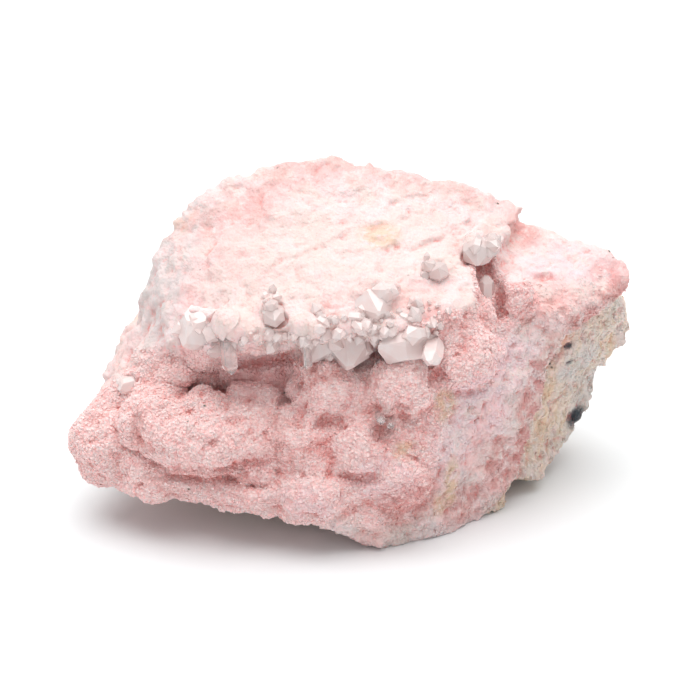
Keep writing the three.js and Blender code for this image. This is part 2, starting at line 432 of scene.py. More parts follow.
def points_of(mesh: bpy.types.Mesh) -> Array:
    """A mesh's vertices in millimetres.

    Args:
        mesh: the mesh to read.

    Returns:
        Positions, shape (n, 3).
    """
    flat = np.empty(len(mesh.vertices) * 3, dtype=np.float32)
    mesh.vertices.foreach_get("co", flat)
    return flat.reshape(-1, 3).astype(np.float64) / MM


def place_points(mesh: bpy.types.Mesh, points: Array) -> None:
    """Moves a mesh's vertices to points in millimetres."""
    mesh.vertices.foreach_set("co", (points * MM).astype(np.float32).ravel())
    mesh.update()


def normals_of(mesh: bpy.types.Mesh) -> Array:
    """The outward direction at each of a mesh's vertices.

    Args:
        mesh: the mesh to read.

    Returns:
        Unit directions, shape (n, 3).
    """
    flat = np.empty(len(mesh.vertices) * 3, dtype=np.float32)
    mesh.vertex_normals.foreach_get("vector", flat)
    return flat.reshape(-1, 3).astype(np.float64)


def edges_of(mesh: bpy.types.Mesh) -> Array:
    """The two vertex indices of each of a mesh's edges.

    Args:
        mesh: the mesh to read.

    Returns:
        Indices, shape (n, 2).
    """
    flat = np.empty(len(mesh.edges) * 2, dtype=np.int32)
    mesh.edges.foreach_get("vertices", flat)
    return flat.reshape(-1, 2)


def neighbour_mean(values: Array, edges: Array) -> Array:
    """Each vertex's mean of its neighbours' values.

    Args:
        values: one row for each vertex.
        edges: the mesh's edges, shape (n, 2).

    Returns:
        An array shaped as values.
    """
    start, end = edges[:, 0], edges[:, 1]
    count = np.bincount(start, minlength=len(values)) + np.bincount(end, minlength=len(values))
    columns = values.reshape(len(values), -1)
    rows = len(values)
    total = np.stack(
        [
            np.bincount(start, columns[end, k], rows) + np.bincount(end, columns[start, k], rows)
            for k in range(columns.shape[1])
        ],
        axis=1,
    )
    return (total / np.maximum(count, 1)[:, None]).reshape(values.shape)


def write_shares(mesh: bpy.types.Mesh, shares: dict[str, Array]) -> None:
    """Stores one number per vertex under each name, for the materials to read.

    Args:
        mesh: the mesh that carries them.
        shares: the numbers, by attribute name.
    """
    for name, values in shares.items():
        layer = mesh.attributes.new(name, "FLOAT", "POINT")
        layer.data.foreach_set("value", values.astype(np.float32))


# ------------------------------------------------------------------ finishes
Feed = bpy.types.NodeSocket | float | Colour


class NodeSheet:
    """A material's nodes, with short ways to add the few kinds that the finishes use."""

    def __init__(self, name: str) -> None:
        """Starts a sheet with a shader, an output and object coordinates.

        Args:
            name: the material's name.
        """
        self.material = bpy.data.materials.new(name)
        self.material.use_nodes = True
        self.tree = self.material.node_tree
        self.tree.nodes.clear()
        self.output = self.tree.nodes.new("ShaderNodeOutputMaterial")
        self.shader = self.tree.nodes.new("ShaderNodeBsdfPrincipled")
        self.link(self.shader.outputs["BSDF"], self.output.inputs["Surface"])
        self.place = self.tree.nodes.new("ShaderNodeTexCoord").outputs["Object"]

    def link(self, source: bpy.types.NodeSocket, target: bpy.types.NodeSocket) -> None:
        """Joins two sockets."""
        self.tree.links.new(source, target)

    def feed(self, target: bpy.types.NodeSocket, value: Feed) -> None:
        """Sets a socket to a number or colour, or joins it to another socket.

        Args:
            target: the socket that takes it.
            value: the number, colour or socket.
        """
        if isinstance(value, bpy.types.NodeSocket):
            self.link(value, target)
        elif isinstance(value, tuple):
            target.default_value = (*value, 1.0)
        else:
            target.default_value = value

    def stretched(self, stretch: Point, turn: Point = (0.0, 0.0, 0.0)) -> bpy.types.NodeSocket:
        """Object coordinates turned, then scaled along each axis.

        Args:
            stretch: the scale along each axis; a small one draws a pattern out.
            turn: degrees about each axis.

        Returns:
            The socket with the coordinates.
        """
        node = self.tree.nodes.new("ShaderNodeMapping")
        node.vector_type = "POINT"
        self.link(self.place, node.inputs["Vector"])
        node.inputs["Rotation"].default_value = tuple(math.radians(angle) for angle in turn)
        node.inputs["Scale"].default_value = stretch
        return node.outputs["Vector"]

    def cloud(
        self, size: float, layers: float = 3.0, rough: float = 0.55, place: bpy.types.NodeSocket | None = None
    ) -> bpy.types.NodeSocket:
        """Cloudy noise.

        Args:
            size: distance in millimetres between its largest patches.
            layers: how many finer layers lie on it.
            rough: how strong each finer layer is.
            place: coordinates to read in place of the object's own.

        Returns:
            The socket with its height, about 0 to 1.
        """
        node = self.tree.nodes.new("ShaderNodeTexNoise")
        self.link(place or self.place, node.inputs["Vector"])
        node.inputs["Scale"].default_value = 1.0 / (size * MM)
        node.inputs["Detail"].default_value = layers
        node.inputs["Roughness"].default_value = rough
        return node.outputs["Fac"]

    def grit(self, size: float, feature: str = "F1") -> bpy.types.NodeSocket:
        """Distances to scattered seeds.

        Args:
            size: millimetres from one seed to the next.
            feature: Blender's name for the kind of distance.

        Returns:
            The socket with the distance, in seed spacings.
        """
        node = self.tree.nodes.new("ShaderNodeTexVoronoi")
        node.feature = feature
        self.link(self.place, node.inputs["Vector"])
        node.inputs["Scale"].default_value = 1.0 / (size * MM)
        return node.outputs["Distance"]

    def share(self, kind: Enum) -> bpy.types.NodeSocket:
        """The mesh's own numbers of one kind.

        Args:
            kind: a Share or a Tint.

        Returns:
            The socket with the numbers, 0 to 1.
        """
        node = self.tree.nodes.new("ShaderNodeAttribute")
        node.attribute_name = kind.value
        return node.outputs["Fac"]

    def span(
        self, value: bpy.types.NodeSocket, low: float, high: float, to_low: float = 0.0, to_high: float = 1.0
    ) -> bpy.types.NodeSocket:
        """Maps one range of numbers smoothly to another, and holds it there outside.

        Args:
            value: the numbers to map.
            low: where the first range starts.
            high: where it ends.
            to_low: what low becomes.
            to_high: what high becomes.

        Returns:
            The socket with the mapped numbers.
        """
        node = self.tree.nodes.new("ShaderNodeMapRange")
        node.interpolation_type = "SMOOTHSTEP"
        self.link(value, node.inputs["Value"])
        for key, number in (("From Min", low), ("From Max", high), ("To Min", to_low), ("To Max", to_high)):
            node.inputs[key].default_value = number
        return node.outputs["Result"]

    def reckon(self, kind: str, first: Feed, second: Feed) -> bpy.types.NodeSocket:
        """One piece of arithmetic, kept within 0 to 1.

        Args:
            kind: Blender's name for it, such as ADD.
            first: the first number.
            second: the second number.

        Returns:
            The socket with the answer.
        """
        node = self.tree.nodes.new("ShaderNodeMath")
        node.operation = kind
        node.use_clamp = True
        self.feed(node.inputs[0], first)
        self.feed(node.inputs[1], second)
        return node.outputs["Value"]

    def times(self, first: Feed, second: Feed) -> bpy.types.NodeSocket:
        """Two numbers multiplied."""
        return self.reckon("MULTIPLY", first, second)

    def plus(self, first: Feed, second: Feed) -> bpy.types.NodeSocket:
        """Two numbers added."""
        return self.reckon("ADD", first, second)

    def blend(self, share: Feed, first: Feed, second: Feed) -> bpy.types.NodeSocket:
        """Two colours mixed.

        Args:
            share: 0 for the first colour alone, 1 for the second.
            first: the first colour.
            second: the second colour.

        Returns:
            The socket with the mixed colour.
        """
        node = self.tree.nodes.new("ShaderNodeMix")
        node.data_type = "RGBA"
        self.feed(node.inputs["Factor"], share)
        self.feed(node.inputs["A"], first)
        self.feed(node.inputs["B"], second)
        return node.outputs["Result"]

    def relief(
        self,
        height: bpy.types.NodeSocket,
        depth: float,
        strength: float = 1.0,
        under: bpy.types.NodeSocket | None = None,
    ) -> bpy.types.NodeSocket:
        """Bumps that only tilt the light.

        Args:
            height: the pattern that they follow.
            depth: millimetres from its lowest to its highest.
            strength: how fully they count.
            under: earlier bumps that these lie on.

        Returns:
            The socket with the tilted directions.
        """
        node = self.tree.nodes.new("ShaderNodeBump")
        node.inputs["Strength"].default_value = strength
        node.inputs["Distance"].default_value = depth * MM
        self.link(height, node.inputs["Height"])
        if under is not None:
            self.link(under, node.inputs["Normal"])
        return node.outputs["Normal"]


@dataclass(frozen=True)
class RockFinish:
    """Rhodochrosite and its wall rock: pinks, creams and stains, painted shade in its crevices and crease
    lines, and sugary relief.
    """

    name: str
    grain_depth: float = 0.16
    coarse_depth: float = 0.45
    roughness: float = 0.62
    sheen_range: float = 0.14
    specular: float = 0.2
    glow: float = 0.4
    glow_depth: float = 0.4
    glow_reach: Colour = (1.0, 0.5, 0.45)
    blush: Colour = (0.92, 0.56, 0.54)
    rose: Colour = (0.88, 0.43, 0.42)
    shell: Colour = (0.96, 0.73, 0.71)
    frost: Colour = (0.83, 0.68, 0.67)
    ivory: Colour = (0.78, 0.64, 0.60)
    cream: Colour = (0.82, 0.66, 0.55)
    tan: Colour = (0.72, 0.50, 0.32)
    # A real orange-pink stain, also used as painted shade in the druse's crease lines and the recess.
    salmon_and_crease_shade: Colour = (0.64, 0.27, 0.25)
    lilac: Colour = (0.87, 0.63, 0.66)
    ochre: Colour = (0.74, 0.50, 0.31)
    ash: Colour = (0.66, 0.61, 0.60)
    slate: Colour = (0.05, 0.06, 0.07)
    # Painted shade: the dark red laid in hollows and crease lines.
    crevice_shade_colour: Colour = (0.80, 0.28, 0.25)
    speck: Colour = (0.16, 0.15, 0.12)

    def colours(self, sheet: NodeSheet) -> bpy.types.NodeSocket:
        """Layers the rock's colours: broken rock, then druse, wall rock, stains (one of them partly painted
        shade), painted shade in crevices, and specks.

        Args:
            sheet: the nodes to add to.

        Returns:
            The socket with the finished colour.
        """
        grain = sheet.cloud(0.9, 3.0, 0.7)
        mottle = sheet.cloud(4.5, 4.0, 0.6)
        broad = sheet.cloud(13.0, 3.0)
        fleck = sheet.cloud(0.7, 4.0, 0.75, sheet.stretched((1.0, 1.0, 0.55), (20.0, 15.0, 0.0)))
        broken = sheet.blend(sheet.span(mottle, 0.40, 0.62), self.frost, self.ivory)
        broken = sheet.blend(sheet.span(broad, 0.46, 0.64, 0.05, 0.6), broken, self.blush)
        broken = sheet.blend(sheet.span(fleck, 0.52, 0.70, 0.0, 0.5), broken, self.rose)
        broken = sheet.blend(sheet.span(fleck, 0.32, 0.46, 0.6, 0.0), broken, self.shell)
        druse = sheet.blend(sheet.span(mottle, 0.34, 0.58, 0.35, 1.0), self.rose, self.blush)
        druse = sheet.blend(sheet.span(grain, 0.36, 0.62, 0.1, 0.85), druse, self.shell)
        colour = sheet.blend(sheet.share(Share.DRUSE), broken, druse)

        bands = sheet.cloud(2.2, 4.0, 0.6, sheet.stretched((1.0, 1.0, 0.22), (12.0, -14.0, 0.0)))
        wall = sheet.blend(sheet.span(bands, 0.36, 0.60), self.ivory, self.cream)
        wall = sheet.blend(sheet.span(bands, 0.55, 0.72, 0.0, 0.75), wall, self.tan)
        wall = sheet.blend(sheet.span(broad, 0.50, 0.66, 0.0, 0.55), wall, self.ash)
        colour = sheet.blend(sheet.share(Share.WALL), colour, wall)

        lines = sheet.cloud(1.5, 3.0, 0.6, sheet.stretched((1.0, 1.0, 0.12), (6.0, 16.0, 0.0)))
        streaks = sheet.blend(sheet.span(lines, 0.42, 0.58), self.ash, self.frost)
        streaks = sheet.blend(sheet.span(lines, 0.56, 0.68, 0.0, 0.8), streaks, self.blush)
        colour = sheet.blend(sheet.times(sheet.share(Share.SIDE), 0.5), colour, streaks)

        patchy = sheet.span(sheet.cloud(2.4, 4.0, 0.7), 0.36, 0.56)
        # The orange-pink stain is partly painted shade in the druse's crease lines and the recess.
        stains = ((Tint.IVORY, self.ivory, 0.8), (Tint.LILAC, self.lilac, 0.75), (Tint.GREY, self.ash, 0.6),
                  (Tint.SALMON_AND_SHADE, self.salmon_and_crease_shade, 0.85), (Tint.OCHRE, self.ochre, 0.8))
        for tint, stain, most in stains:
            share = sheet.times(sheet.times(sheet.share(tint), patchy), most)
            colour = sheet.blend(share, colour, stain)
        colour = sheet.blend(sheet.share(Tint.DARK), colour, self.slate)

        # Painted shade: the skin's hollows and crease lines turn a dark red, as shade would fall there.
        pinpoints = sheet.span(sheet.cloud(0.7, 2.0, 0.6), 0.45, 0.66)
        painted_hollow_shade = sheet.times(sheet.share(Share.CAVITY), sheet.plus(pinpoints, 0.35))
        colour = sheet.blend(sheet.times(painted_hollow_shade, 0.8), colour, self.crevice_shade_colour)

        specks = sheet.span(sheet.grit(3.2), 0.05, 0.10, 1.0, 0.0)
        rare = sheet.span(sheet.cloud(7.0, 1.0), 0.56, 0.62)
        return sheet.blend(sheet.times(specks, rare), colour, self.speck)

    def material(self) -> bpy.types.Material:
        """The finish as nodes.

        Returns:
            A new material.
        """
        sheet = NodeSheet(self.name)
        shader = sheet.shader
        sheet.link(self.colours(sheet), shader.inputs["Base Color"])
        dull, glossy = self.roughness + self.sheen_range, self.roughness - self.sheen_range
        sheet.link(sheet.span(sheet.cloud(1.4, 3.0), 0.3, 0.7, glossy, dull), shader.inputs["Roughness"])
        shader.inputs["Subsurface Weight"].default_value = self.glow
        shader.inputs["Subsurface Radius"].default_value = self.glow_reach
        shader.inputs["Subsurface Scale"].default_value = self.glow_depth * MM
        shader.inputs["Specular IOR Level"].default_value = self.specular
        coarse = sheet.relief(sheet.cloud(1.5, 4.0, 0.65), self.coarse_depth, 0.6)
        sugar = sheet.relief(sheet.grit(0.55, "SMOOTH_F1"), self.grain_depth, 1.0, coarse)
        fine = sheet.relief(sheet.cloud(0.28, 2.0, 0.6), self.grain_depth * 0.5, 1.0, sugar)
        sheet.link(fine, shader.inputs["Normal"])
        return sheet.material


@dataclass(frozen=True)
class QuartzFinish:
    """Quartz: see-through, with cloud and faint veils in it."""

    name: str
    cloudiness: float
    tone: Colour
    roughness: float = 0.04
    veil: Colour = (1.0, 0.88, 0.86)
    ior: float = 1.544
    absorption: Colour = (0.96, 0.90, 0.92)
    absorption_density: float = 25.0

    def material(self) -> bpy.types.Material:
        """The finish as nodes.

        Returns:
            A new material.
        """
        sheet = NodeSheet(self.name)
        shader = sheet.shader
        veils = sheet.cloud(2.0, 3.0, 0.6, sheet.stretched((1.0, 1.0, 0.5), (25.0, 30.0, 0.0)))
        veiled = sheet.blend(sheet.span(veils, 0.36, 0.64), self.tone, self.veil)
        sheet.link(veiled, shader.inputs["Base Color"])
        shader.inputs["Transmission Weight"].default_value = 1.0 - self.cloudiness
        shader.inputs["IOR"].default_value = self.ior
        worn = sheet.span(sheet.cloud(1.2, 3.0), 0.45, 0.75, self.roughness, self.roughness + 0.12)
        sheet.link(worn, shader.inputs["Roughness"])
        sheet.link(sheet.relief(sheet.cloud(0.7, 3.0), 0.03, 0.4), shader.inputs["Normal"])
        absorb = sheet.tree.nodes.new("ShaderNodeVolumeAbsorption")
        absorb.inputs["Color"].default_value = (*self.absorption, 1.0)
        absorb.inputs["Density"].default_value = self.absorption_density
        sheet.link(absorb.outputs["Volume"], sheet.output.inputs["Volume"])
        return sheet.material


# ------------------------------------------------------------------ the rock
class Relief(NamedTuple):
    """One size of bump on the rock: its width, its height, and which scatter it follows."""

    size: float
    height: float
    seed: int


@dataclass
class RockSkin:
    """The rock's visible surface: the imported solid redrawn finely, worn, then roughened."""

    packed: bpy.types.Object
    groups: tuple["QuartzGroup", ...]
    voxel: float = 0.86
    relax_steps: int = 5
    swell_height: float = 0.7
    splinters: tuple[Relief, ...] = (Relief(8.0, 1.4, 21), Relief(3.4, 0.9, 31), Relief(1.5, 0.5, 41))
    lumps: tuple[Relief, ...] = (Relief(6.4, 1.9, 81), Relief(2.7, 0.85, 91), Relief(1.4, 0.45, 101))
    groove_depth: float = 0.32
    pore_depth: float = 0.8
    finish: RockFinish = RockFinish("rhodochrosite")

    def drawn_again(self) -> bpy.types.Mesh:
        """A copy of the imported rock, merged and redrawn as even small squares, finer on its show side.

        Returns:
            The new mesh.
        """
        source = self.packed.data.copy()
        work = bmesh.new()
        work.from_mesh(source)
        bmesh.ops.remove_doubles(work, verts=work.verts, dist=1e-7)
        for group in self.groups:
            group.add_plugs(work)
        work.to_mesh(source)
        work.free()
        rough = bpy.data.objects.new("rough_rock", source)
        bpy.context.scene.collection.objects.link(rough)
        remesh = rough.modifiers.new("redraw", "REMESH")
        remesh.mode = "VOXEL"
        remesh.voxel_size = self.voxel * MM
        graph = bpy.context.evaluated_depsgraph_get()
        mesh = bpy.data.meshes.new_from_object(rough.evaluated_get(graph))
        bpy.data.objects.remove(rough)
        self.refine(mesh)
        return mesh

    def refine(self, mesh: bpy.types.Mesh) -> None:
        """Halves the squares that face the show side, and closes the seam with triangles.

        Args:
            mesh: the redrawn rock, which is changed.
        """
        work = bmesh.new()
        work.from_mesh(mesh)
        work.normal_update()
        shown = Vector(SHOW_SIDE)
        front = [f for f in work.faces if f.normal.dot(shown) > 0.12 or f.calc_center_median().y < -12 * MM]
        edges = list({edge for face in front for edge in face.edges})
        bmesh.ops.subdivide_edges(work, edges=edges, cuts=1, use_grid_fill=True)
        bmesh.ops.triangulate(work, faces=[face for face in work.faces if len(face.verts) != 4])
        bmesh.ops.recalc_face_normals(work, faces=work.faces)
        work.to_mesh(mesh)
        work.free()
        mesh.update()

    def relax(self, mesh: bpy.types.Mesh, steps: int) -> None:
        """Wears the corners down: each step moves every point half way to its neighbours' mean.

        Args:
            mesh: the rock's mesh, which is changed.
            steps: how many times.
        """
        points = points_of(mesh)
        edges = edges_of(mesh)
        for _ in range(steps):
            points += 0.5 * (neighbour_mean(points, edges) - points)
        place_points(mesh, points)

    def druse_cover(self, points: Array, normals: Array) -> Array:
        """How much druse coats each point: in the druse patches, and not on the slab's broken top.

        Args:
            points: positions on the rock.
            normals: the outward directions there.

        Returns:
            0 on bare broken rock to 1 under full druse.
        """
        cover = greatest_cover(DRUSE_PATCHES, points)
        top = ramp(normals[:, 2], 0.55, 0.8) * ramp(points[:, 2], 40.0, 44.0)
        bare = np.maximum(top, wall_cover(points))
        return ramp(cover - bare + 0.2 * layered_swell(points, 6.0, 3), 0.15, 0.6)

    def splintered(self, points: Array, normals: Array, wall: Array) -> Array:
        """Broken rock's relief: each pebble cell is a plane that leans its own way, with grooves on top.

        The left side and the wall rock get the grooves, which are swells drawn out along z.

        Args:
            points: positions on the rock.
            normals: the outward directions there.
            wall: how much of each point is wall rock.

        Returns:
            The height at each point, in millimetres.
        """
        heights = np.zeros(len(points))
        for size, height, seed in self.splinters:
            cells = pebbled(points, size, seed)
            lean = np.stack([np.sin(cells.label * 40.0 + turn) for turn in (0.0, 2.1, 4.2)], axis=1)
            heights += height * (cells.offset * lean).sum(axis=1) * 0.6
        heights += 0.4 * layered_swell(points, 1.6, 51, 3)
        heights *= 1.0 - 0.5 * ramp(normals @ np.array([0.0, -0.5, 0.85]), 0.6, 0.9)
        grooves = swell(points * np.array([1.0, 1.0, 0.16]), 1.5, 61)
        grooved = np.maximum(ramp(points[:, 0], -31.0, -35.0), 0.8 * wall)
        return heights + self.groove_depth * grooves * grooved

    def lumpy(self, points: Array) -> Array:
        """Druse's relief: round lumps, each 0.35 minus its squared distance from its seed, and pores.

        Args:
            points: positions on the rock.

        Returns:
            The height at each point, in millimetres.
        """
        heights = np.zeros(len(points))
        for size, height, seed in self.lumps:
            cells = pebbled(points, size, seed)
            heights += height * (0.35 - cells.nearest**2)
        heights += 0.22 * layered_swell(points, 1.5, 111, 2)
        return heights - self.pore_depth * ramp(swell(points, 2.2, 121), 0.5, 0.85)

    def roughened(self, mesh: bpy.types.Mesh) -> dict[str, Array]:
        """Roughens the skin, works out what covers each point of it, and how much painted shade its hollows
        and crease lines get.

        Broken rock gets splinters and druse gets lumps. Pits are pushed in under their patches, and
        bulges pushed out.

        Args:
            mesh: the rock's mesh, which is changed.

        Returns:
            The shares for the materials, by attribute name.
        """
        points = points_of(mesh)
        normals = normals_of(mesh)
        points += normals * (self.swell_height * layered_swell(points, 13.0, 5, 3))[:, None]
        place_points(mesh, points)
        normals = normals_of(mesh)
        druse = self.druse_cover(points, normals)
        wall = wall_cover(points)

        splinters = self.splintered(points, normals, wall)
        lumps = self.lumpy(points)
        crease_shade = druse * ramp(-lumps, 0.15, 1.1)
        pits = np.sum([patch.cover(points) for patch in PIT_PATCHES], axis=0)
        pits -= greatest_cover(BULGE_PATCHES, points)
        move = druse * lumps + (1.0 - druse) * splinters - pits
        points += normals * move[:, None]
        points[:, 2] = np.maximum(points[:, 2], 0.0)
        place_points(mesh, points)
        self.relax(mesh, 1)

        side = ramp(points[:, 0] - 0.35 * points[:, 1], -24.0, -29.0) * ramp(points[:, 2], 27.0, 33.0)
        hollow_shade = np.clip(self.crevice_shade_mask(mesh) + 0.7 * crease_shade, 0.0, 1.0)
        shares = {
            Share.DRUSE.value: druse,
            Share.WALL.value: wall,
            Share.SIDE.value: side * (1.0 - wall),
            Share.CAVITY.value: hollow_shade,
        }
        for tint, patches in TINT_PATCHES.items():
            shares[tint.value] = greatest_cover(patches, points)
        return shares

    def crevice_shade_mask(self, mesh: bpy.types.Mesh) -> Array:
        """How far each point lies inside a dip, for the painted shade: how far its wider neighbourhood's mean
        stands in front of it.

        Args:
            mesh: the rock's mesh.

        Returns:
            0 on open faces and bumps to 1 far down in hollows, where the shade is painted darkest.
        """
        points = points_of(mesh)
        edges = edges_of(mesh)
        normals = normals_of(mesh)
        near = points
        for _ in range(6):
            near = neighbour_mean(near, edges)
        wide = near
        for _ in range(24):
            wide = neighbour_mean(wide, edges)
        small = ((near - points) * normals).sum(axis=1)
        large = ((wide - points) * normals).sum(axis=1)
        return np.clip(ramp(small, 0.02, 0.32) * 0.8 + ramp(large, 0.1, 1.1) * 0.6, 0.0, 1.0)

    def build(self) -> bpy.types.Object:
        """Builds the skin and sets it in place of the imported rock.

        Returns:
            The skin, as one piece.
        """
        mesh = self.drawn_again()
        self.relax(mesh, self.relax_steps)
        shares = self.roughened(mesh)
        write_shares(mesh, shares)
        mesh.shade_smooth()
        piece = new_piece("rock", mesh, self.finish.material())
        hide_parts(ROCK_NODE)
        return piece


# ------------------------------------------------------------------ the druse's grains
CUBE_CORNERS = np.array(
    [
        [-1, -1, -1], [1, -1, -1], [1, 1, -1], [-1, 1, -1],
        [-1, -1, 1], [1, -1, 1], [1, 1, 1], [-1, 1, 1],
    ],
    float,
)
CUBE_FACES = np.array([[0, 3, 2, 1], [4, 5, 6, 7], [0, 1, 5, 4], [1, 2, 6, 5], [2, 3, 7, 6], [3, 0, 4, 7]])


def upright_turns(up: Array, spin: Array) -> Array:
    """Turns that carry a shape's own z to each direction, after a spin about it.

    Args:
        up: unit directions, shape (n, 3).
        spin: angles in radians, shape (n,).

    Returns:
        Turning matrices, shape (n, 3, 3), whose columns are the shape's x, y and z.
    """
    helper = np.where(np.abs(up[:, 2:3]) < 0.9, np.array([[0.0, 0.0, 1.0]]), np.array([[1.0, 0.0, 0.0]]))
    side = np.cross(helper, up)
    side /= np.linalg.norm(side, axis=1, keepdims=True)
    other = np.cross(up, side)
    cos, sin = np.cos(spin)[:, None], np.sin(spin)[:, None]
    return np.stack([side * cos + other * sin, other * cos - side * sin, up], axis=2)


class Seats:
    """Random places on the rock's skin, for small things that grow on it."""

    def __init__(self, rock: bpy.types.Object) -> None:
        """Reads the skin's triangles, points, outward directions and shares.

        Args:
            rock: the rock's finished skin.
        """
        mesh = rock.data
        mesh.calc_loop_triangles()
        corners = np.empty(len(mesh.loop_triangles) * 3, dtype=np.int32)
        mesh.loop_triangles.foreach_get("vertices", corners)
        self.corners = corners.reshape(-1, 3)
        self.points = points_of(mesh)
        self.normals = normals_of(mesh)
        a, b, c = (self.points[self.corners[:, k]] for k in range(3))
        self.middles = (a + b + c) / 3.0
        self.area = np.linalg.norm(np.cross(b - a, c - a), axis=1) / 2.0
        self.shares: dict[str, Array] = {}
        for kind in (*Share, *Tint):
            values = np.empty(len(self.points), dtype=np.float32)
            mesh.attributes[kind.value].data.foreach_get("value", values)
            self.shares[kind.value] = values

    def shown(self) -> Array:
        """How well each triangle shows, but nothing on the slab and the left end.

        Returns:
            0.15 on the back to 1 in front, and 0 on the slab and the left end.
        """
        facing = self.normals[self.corners].mean(axis=1) @ np.array(SHOW_SIDE)
        low = ramp(self.middles[:, 2], 42.0, 36.0) * ramp(self.middles[:, 0], -28.0, -20.0)
        return (0.15 + 0.85 * ramp(facing, -0.2, 0.2)) * low

    def pick(self, count: int, cover: Array, rng: np.random.Generator) -> tuple[Array, Array]:
        """Picks places at random, more of them where the triangles are large and well covered.

        Args:
            count: how many places.
            cover: one number for each triangle; none are picked where it is 0.
            rng: the source of chance.

        Returns:
            The picked triangles' corner indices, and each corner's share of the place.
        """
        weight = self.area * cover
        chosen = rng.choice(len(self.corners), count, p=weight / weight.sum())
        u, v = rng.random(count), rng.random(count)
        fold = u + v > 1.0
        u[fold], v[fold] = 1.0 - u[fold], 1.0 - v[fold]
        return self.corners[chosen], np.stack([1.0 - u - v, u, v], axis=1)


class Ground(Enum):
    """Which part of the rock a coat of rhombs lies on."""

    DRUSE = "druse"
    BROKEN = "broken rock"


@dataclass
class DruseCoat:
    """Tiny rhombs of rhodochrosite that stand on the rock, corner outwards."""

    name: str
    count: int
    seed: int
    smallest: float = 0.09
    largest: float = 0.28
    flatten: float = 0.72
    spread: float = 0.38
    ground: Ground = Ground.DRUSE
    finish: RockFinish = RockFinish("druse_grains", grain_depth=0.05, coarse_depth=0.05, roughness=0.42)

    def rhomb(self) -> Array:
        """A cube stood on its corner and pressed along that diagonal, which makes it a rhomb.

        Returns:
            Its eight corners.
        """
        diagonal = np.array([[1.0, 1.0, 1.0]]) / math.sqrt(3.0)
        turn = upright_turns(diagonal, np.zeros(1))[0]
        standing = CUBE_CORNERS @ turn
        standing[:, 2] *= self.flatten
        return standing

    def cover(self, seats: Seats) -> Array:
        """How thickly the rhombs lie.

        Args:
            seats: the rock's places.

        Returns:
            0 or more for each of the rock's triangles.
        """
        druse = seats.shares[Share.DRUSE.value][seats.corners].mean(axis=1)
        if self.ground is Ground.DRUSE:
            return np.maximum(druse - 0.15, 0.0)
        return np.clip(0.8 - druse, 0.0, 1.0) * seats.shown()

    def build(self, rock: bpy.types.Object) -> bpy.types.Object:
        """Scatters the rhombs over their ground, more thickly where the cover is full.

        Args:
            rock: the rock's finished skin, which carries the shares.

        Returns:
            The coat, as one piece.
        """
        seats = Seats(rock)
        rng = np.random.default_rng(self.seed)
        triple, mix = seats.pick(self.count, self.cover(seats), rng)
        seat = (seats.points[triple] * mix[:, :, None]).sum(axis=1)
        up = (seats.normals[triple] * mix[:, :, None]).sum(axis=1)
        up += rng.normal(0.0, self.spread, (self.count, 3))
        up /= np.linalg.norm(up, axis=1, keepdims=True)
        size = self.smallest + (self.largest - self.smallest) * rng.random(self.count) ** 2.2
        turns = upright_turns(up, rng.random(self.count) * math.tau)
        local = self.rhomb()[None, :, :] * size[:, None, None]
        placed = np.einsum("nij,nkj->nki", turns, local) + (seat + up * size[:, None] * 0.25)[:, None, :]
        flat = placed.reshape(-1, 3)
        flat[:, 2] = np.maximum(flat[:, 2], 0.02)
        faces = (CUBE_FACES[None, :, :] + 8 * np.arange(self.count)[:, None, None]).reshape(-1, 4)
        grains = mesh_of(self.name, flat, faces)
        carried = {name: (values[triple] * mix).sum(axis=1) for name, values in seats.shares.items()}
        # The grains take the painted shade of the skin's crevices below them, a little weaker.
        carried[Share.CAVITY.value] *= 0.8
        write_shares(grains, {name: np.repeat(values, 8) for name, values in carried.items()})
        return new_piece(self.name, grains, self.finish.material())


# ------------------------------------------------------------------ quartz
@dataclass(frozen=True)
class Crystal:
    """One quartz crystal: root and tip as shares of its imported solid's box, and its widths."""

    root: Point
    tip: Point
    width: float
    depth: float
    turn: float
    skew: float = 0.25


def chipped(corners: Array, count: int, rng: np.random.Generator) -> tuple[Array, Array]:
    """Planes that cut a little off a solid: each keeps 0.8 to 0.95 of its reach from the middle.

    Args:
        corners: the solid's corners.
        count: how many cuts.
        rng: picks their directions.

    Returns:
        Outward unit directions, and each plane's distance from the origin along its direction.
    """
    away = rng.normal(0.0, 1.0, (count, 3)) + np.array([0.0, 0.0, 0.5])
    away /= np.linalg.norm(away, axis=1, keepdims=True)
    middle = corners.mean(axis=0)
    reach = ((corners - middle) @ away.T).max(axis=0)
    return away, away @ middle + reach * rng.uniform(0.8, 0.95, count)


def crystal_planes(crystal: Crystal, length: float, rng: np.random.Generator) -> tuple[Array, Array]:
    """The planes of a crystal that stands on z = 0: six prism faces, six leaning end faces and the root.

    Args:
        crystal: its widths and turn.
        length: from root to tip.
        rng: makes the end faces unequal.

    Returns:
        Outward unit directions, and each plane's distance from the origin along its direction.
    """
    angles = math.radians(crystal.turn) + np.arange(6) * math.tau / 6
    half = np.where(np.arange(6) % 3 == 0, crystal.width, (crystal.width + crystal.depth) / 2) / 2
    half = half * (1.0 + rng.uniform(-0.08, 0.08, 6))
    sides = np.stack([np.cos(angles), np.sin(angles), np.zeros(6)], axis=1)
    lean = math.radians(51.8)
    ends = np.stack([np.cos(angles) * math.sin(lean), np.sin(angles) * math.sin(lean),
                     np.full(6, math.cos(lean))], axis=1)
    reach = length * math.cos(lean) + crystal.skew * crystal.width * rng.uniform(-0.2, 0.2, 6)
    reach = reach * np.where(np.arange(6) % 2 == 0, 1.0, 1.03)
    root = np.array([[0.0, 0.0, -1.0]])
    return np.concatenate([sides, ends, root]), np.concatenate([half, reach, [0.0]])


